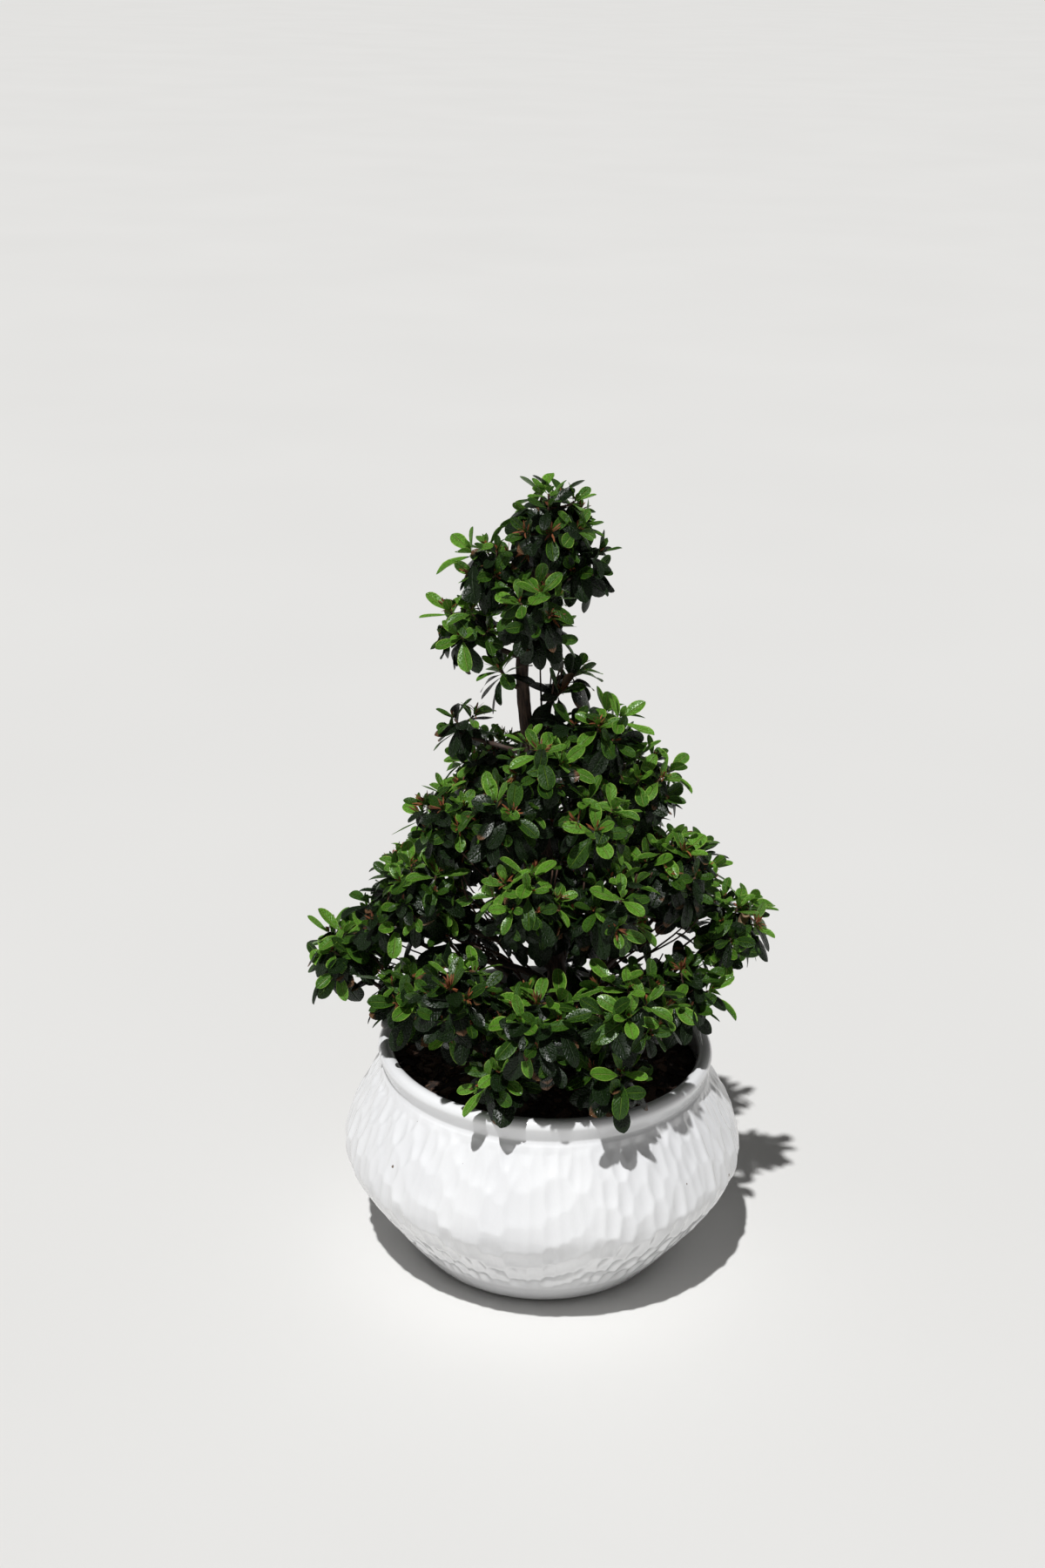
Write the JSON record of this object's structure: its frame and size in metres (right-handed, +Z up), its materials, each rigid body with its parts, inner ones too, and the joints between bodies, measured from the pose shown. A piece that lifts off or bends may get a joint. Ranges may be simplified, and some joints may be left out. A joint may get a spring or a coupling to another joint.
{
  "type": "potted azalea bonsai",
  "caption": "Azalea trained as a tiered cone, with a slender trunk, boughs and rosettes of small leaves, planted in a round glazed ceramic bowl with a rolled lip.",
  "frame": {"origin": "centre of the bowl's flat underside", "axes": "+Z up along the bowl's axis, -Y towards the front of the plant, +X to its right"},
  "size_m": [0.4258, 0.401, 0.7225],
  "materials": {
    "glaze": "glossy white glaze over a hand-carved surface of upright scoops",
    "soil": "matt dark potting mix with bark chips",
    "bark": "matt reddish-brown bark with fine lengthwise ridges",
    "leaf": "leathery green leaves, bright and new at the tips, dark and glossy below"
  },
  "bodies": {
    "root": {"bough_low_back": "bark", "bough_low_back_left": "bark", "bough_low_back_right": "bark", "bough_low_left": "bark", "bough_low_right": "bark", "bough_low_upper_left": "bark", "bough_mid_back_left": "bark", "bough_mid_back_right": "bark", "bough_mid_front": "bark", "bough_mid_front_right": "bark", "bough_mid_left": "bark", "bough_mid_right": "bark", "bough_skirt_front": "bark", "bough_skirt_front_left": "bark", "bough_skirt_front_right": "bark", "bough_skirt_left": "bark", "bough_skirt_right": "bark", "bough_tuft_right": "bark", "leaves_foot_back": "leaf", "leaves_foot_left": "leaf", "leaves_foot_right": "leaf", "leaves_low_back": "leaf", "leaves_low_back_left": "leaf", "leaves_low_back_right": "leaf", "leaves_low_left": "leaf", "leaves_low_right": "leaf", "leaves_low_upper_left": "leaf", "leaves_mid_back_left": "leaf", "leaves_mid_back_right": "leaf", "leaves_mid_front": "leaf", "leaves_mid_front_right": "leaf", "leaves_mid_left": "leaf", "leaves_mid_right": "leaf", "leaves_shoulder_back": "leaf", "leaves_shoulder_front": "leaf", "leaves_shoulder_left": "leaf", "leaves_shoulder_right": "leaf", "leaves_skirt_front": "leaf", "leaves_skirt_front_left": "leaf", "leaves_skirt_front_right": "leaf", "leaves_skirt_left": "leaf", "leaves_skirt_right": "leaf", "leaves_top": "leaf", "leaves_top_back": "leaf", "leaves_top_front": "leaf", "leaves_top_left": "leaf", "leaves_top_low_left": "leaf", "leaves_top_low_right": "leaf", "leaves_top_right": "leaf", "leaves_tuft_left": "leaf", "leaves_tuft_right": "leaf", "leaves_upper_back_left": "leaf", "leaves_upper_back_right": "leaf", "leaves_upper_front": "leaf", "leaves_upper_front_right": "leaf", "leaves_upper_left": "leaf", "leaves_upper_right": "leaf", "pot": "glaze", "soil": "soil", "trunk": "bark"}
  },
  "joints": []
}
